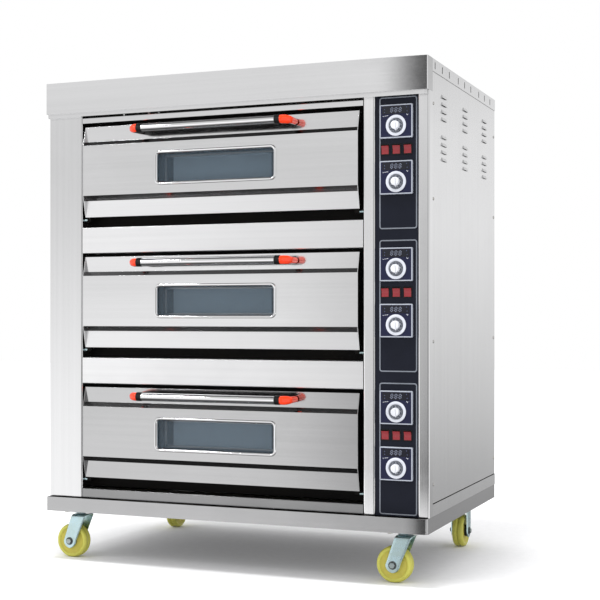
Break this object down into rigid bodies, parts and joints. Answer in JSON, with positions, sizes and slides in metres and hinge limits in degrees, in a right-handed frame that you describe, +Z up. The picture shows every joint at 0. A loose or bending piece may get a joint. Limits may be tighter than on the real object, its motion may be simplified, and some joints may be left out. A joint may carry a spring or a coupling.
{
  "type": "deck oven",
  "caption": "Free-standing electric deck oven with drop-down windowed doors, bar handles, dial thermostats, rocker switches and casters.",
  "frame": {"origin": "on the floor, under the middle of the whole outline", "axes": "+X to the right across the front, +Y from the front to the back, +Z up"},
  "size_m": [1.235, 0.8875, 1.48],
  "materials": {
    "stainless_sheet": "satin",
    "polished_steel": "gloss",
    "chamber_steel": "matte",
    "hearth_steel": "satin",
    "zinc_steel": "satin",
    "panel_black": "satin",
    "housing_plastic": "satin",
    "switch_black": "satin",
    "switch_red": "gloss",
    "dial_silver": "satin",
    "handle_orange": "gloss",
    "window_glass": "gloss",
    "element_sheath": "matte",
    "mineral_wool": "matte",
    "gland_nylon": "matte",
    "wheel_nylon": "satin"
  },
  "bodies": {
    "root": {"base_frame": "stainless_sheet", "cap_hood": "stainless_sheet", "roof_panel": "stainless_sheet", "side_rails": "stainless_sheet", "left_side_panel": "stainless_sheet", "right_side_panel": "stainless_sheet", "back_panel": "stainless_sheet", "front_posts": "stainless_sheet", "fascia_plates": "stainless_sheet", "control_panel": "panel_black", "thermostat_housings": "housing_plastic", "switch_bezels": "switch_black", "chamber_liners": "chamber_steel", "hearth_plates": "hearth_steel", "heating_elements": "element_sheath", "insulation": "mineral_wool", "hinge_pins": "zinc_steel", "panel_screws": "zinc_steel", "cable_gland": "gland_nylon", "caster_plates": "zinc_steel", "rear_forks": "zinc_steel"},
    "upper_door": {"upper_door_skin": "stainless_sheet", "upper_door_pan": "stainless_sheet", "upper_door_glass": "window_glass", "upper_window_bezel": "polished_steel", "upper_handle_tube": "polished_steel", "upper_handle_arms": "handle_orange"},
    "middle_door": {"middle_door_skin": "stainless_sheet", "middle_door_pan": "stainless_sheet", "middle_door_glass": "window_glass", "middle_window_bezel": "polished_steel", "middle_handle_tube": "polished_steel", "middle_handle_arms": "handle_orange"},
    "lower_door": {"lower_door_skin": "stainless_sheet", "lower_door_pan": "stainless_sheet", "lower_door_glass": "window_glass", "lower_window_bezel": "polished_steel", "lower_handle_tube": "polished_steel", "lower_handle_arms": "handle_orange"},
    "upper_top_heat_dial": {"upper_top_heat_dial": "dial_silver"},
    "upper_bottom_heat_dial": {"upper_bottom_heat_dial": "dial_silver"},
    "middle_top_heat_dial": {"middle_top_heat_dial": "dial_silver"},
    "middle_bottom_heat_dial": {"middle_bottom_heat_dial": "dial_silver"},
    "lower_top_heat_dial": {"lower_top_heat_dial": "dial_silver"},
    "lower_bottom_heat_dial": {"lower_bottom_heat_dial": "dial_silver"},
    "upper_top_heat_rocker": {"upper_top_heat_rocker": "switch_red"},
    "upper_bottom_heat_rocker": {"upper_bottom_heat_rocker": "switch_red"},
    "upper_lamp_rocker": {"upper_lamp_rocker": "switch_red"},
    "middle_top_heat_rocker": {"middle_top_heat_rocker": "switch_red"},
    "middle_bottom_heat_rocker": {"middle_bottom_heat_rocker": "switch_red"},
    "middle_lamp_rocker": {"middle_lamp_rocker": "switch_red"},
    "lower_top_heat_rocker": {"lower_top_heat_rocker": "switch_red"},
    "lower_bottom_heat_rocker": {"lower_bottom_heat_rocker": "switch_red"},
    "lower_lamp_rocker": {"lower_lamp_rocker": "switch_red"},
    "front_left_fork": {"front_left_fork": "zinc_steel"},
    "front_right_fork": {"front_right_fork": "zinc_steel"},
    "front_left_wheel": {"front_left_wheel": "wheel_nylon"},
    "front_right_wheel": {"front_right_wheel": "wheel_nylon"},
    "rear_left_wheel": {"rear_left_wheel": "wheel_nylon"},
    "rear_right_wheel": {"rear_right_wheel": "wheel_nylon"}
  },
  "joints": [
    {"name": "upper_door_hinge", "type": "hinge", "parent": "root", "child": "upper_door", "pos_m": [0, -0.35725, 1.0545], "axis": [1, 0, 0], "range_deg": [0, 85]},
    {"name": "middle_door_hinge", "type": "hinge", "parent": "root", "child": "middle_door", "pos_m": [0, -0.35725, 0.6535], "axis": [1, 0, 0], "range_deg": [0, 85]},
    {"name": "lower_door_hinge", "type": "hinge", "parent": "root", "child": "lower_door", "pos_m": [0, -0.35725, 0.2525], "axis": [1, 0, 0], "range_deg": [0, 85]},
    {"name": "upper_top_heat_dial_turn", "type": "hinge", "parent": "root", "child": "upper_top_heat_dial", "pos_m": [0.519, -0.37525, 1.2915], "axis": [0, 1, 0], "range_deg": [0, 270]},
    {"name": "upper_bottom_heat_dial_turn", "type": "hinge", "parent": "root", "child": "upper_bottom_heat_dial", "pos_m": [0.519, -0.37525, 1.134], "axis": [0, 1, 0], "range_deg": [0, 270]},
    {"name": "middle_top_heat_dial_turn", "type": "hinge", "parent": "root", "child": "middle_top_heat_dial", "pos_m": [0.519, -0.37525, 0.8905], "axis": [0, 1, 0], "range_deg": [0, 270]},
    {"name": "middle_bottom_heat_dial_turn", "type": "hinge", "parent": "root", "child": "middle_bottom_heat_dial", "pos_m": [0.519, -0.37525, 0.733], "axis": [0, 1, 0], "range_deg": [0, 270]},
    {"name": "lower_top_heat_dial_turn", "type": "hinge", "parent": "root", "child": "lower_top_heat_dial", "pos_m": [0.519, -0.37525, 0.4895], "axis": [0, 1, 0], "range_deg": [0, 270]},
    {"name": "lower_bottom_heat_dial_turn", "type": "hinge", "parent": "root", "child": "lower_bottom_heat_dial", "pos_m": [0.519, -0.37525, 0.332], "axis": [0, 1, 0], "range_deg": [0, 270]},
    {"name": "upper_top_heat_rocker_press", "type": "hinge", "parent": "root", "child": "upper_top_heat_rocker", "pos_m": [0.485, -0.36225, 1.2255], "axis": [-1, 0, 0], "range_deg": [0, 14]},
    {"name": "upper_bottom_heat_rocker_press", "type": "hinge", "parent": "root", "child": "upper_bottom_heat_rocker", "pos_m": [0.518, -0.36225, 1.2255], "axis": [-1, 0, 0], "range_deg": [0, 14]},
    {"name": "upper_lamp_rocker_press", "type": "hinge", "parent": "root", "child": "upper_lamp_rocker", "pos_m": [0.551, -0.36225, 1.2255], "axis": [-1, 0, 0], "range_deg": [0, 14]},
    {"name": "middle_top_heat_rocker_press", "type": "hinge", "parent": "root", "child": "middle_top_heat_rocker", "pos_m": [0.485, -0.36225, 0.8245], "axis": [-1, 0, 0], "range_deg": [0, 14]},
    {"name": "middle_bottom_heat_rocker_press", "type": "hinge", "parent": "root", "child": "middle_bottom_heat_rocker", "pos_m": [0.518, -0.36225, 0.8245], "axis": [-1, 0, 0], "range_deg": [0, 14]},
    {"name": "middle_lamp_rocker_press", "type": "hinge", "parent": "root", "child": "middle_lamp_rocker", "pos_m": [0.551, -0.36225, 0.8245], "axis": [-1, 0, 0], "range_deg": [0, 14]},
    {"name": "lower_top_heat_rocker_press", "type": "hinge", "parent": "root", "child": "lower_top_heat_rocker", "pos_m": [0.485, -0.36225, 0.4235], "axis": [-1, 0, 0], "range_deg": [0, 14]},
    {"name": "lower_bottom_heat_rocker_press", "type": "hinge", "parent": "root", "child": "lower_bottom_heat_rocker", "pos_m": [0.518, -0.36225, 0.4235], "axis": [-1, 0, 0], "range_deg": [0, 14]},
    {"name": "lower_lamp_rocker_press", "type": "hinge", "parent": "root", "child": "lower_lamp_rocker", "pos_m": [0.551, -0.36225, 0.4235], "axis": [-1, 0, 0], "range_deg": [0, 14]},
    {"name": "front_left_swivel", "type": "hinge", "parent": "root", "child": "front_left_fork", "pos_m": [-0.53, -0.31325, 0.138], "axis": [0, 0, 1], "continuous": true},
    {"name": "front_right_swivel", "type": "hinge", "parent": "root", "child": "front_right_fork", "pos_m": [0.53, -0.31325, 0.138], "axis": [0, 0, 1], "continuous": true},
    {"name": "front_left_roll", "type": "hinge", "parent": "front_left_fork", "child": "front_left_wheel", "pos_m": [-0.562, -0.31325, 0.0525], "axis": [0, 1, 0], "continuous": true},
    {"name": "front_right_roll", "type": "hinge", "parent": "front_right_fork", "child": "front_right_wheel", "pos_m": [0.498, -0.31325, 0.0525], "axis": [0, 1, 0], "continuous": true},
    {"name": "rear_left_roll", "type": "hinge", "parent": "root", "child": "rear_left_wheel", "pos_m": [-0.525, 0.31675, 0.0525], "axis": [1, 0, 0], "continuous": true},
    {"name": "rear_right_roll", "type": "hinge", "parent": "root", "child": "rear_right_wheel", "pos_m": [0.525, 0.31675, 0.0525], "axis": [1, 0, 0], "continuous": true}
  ]
}
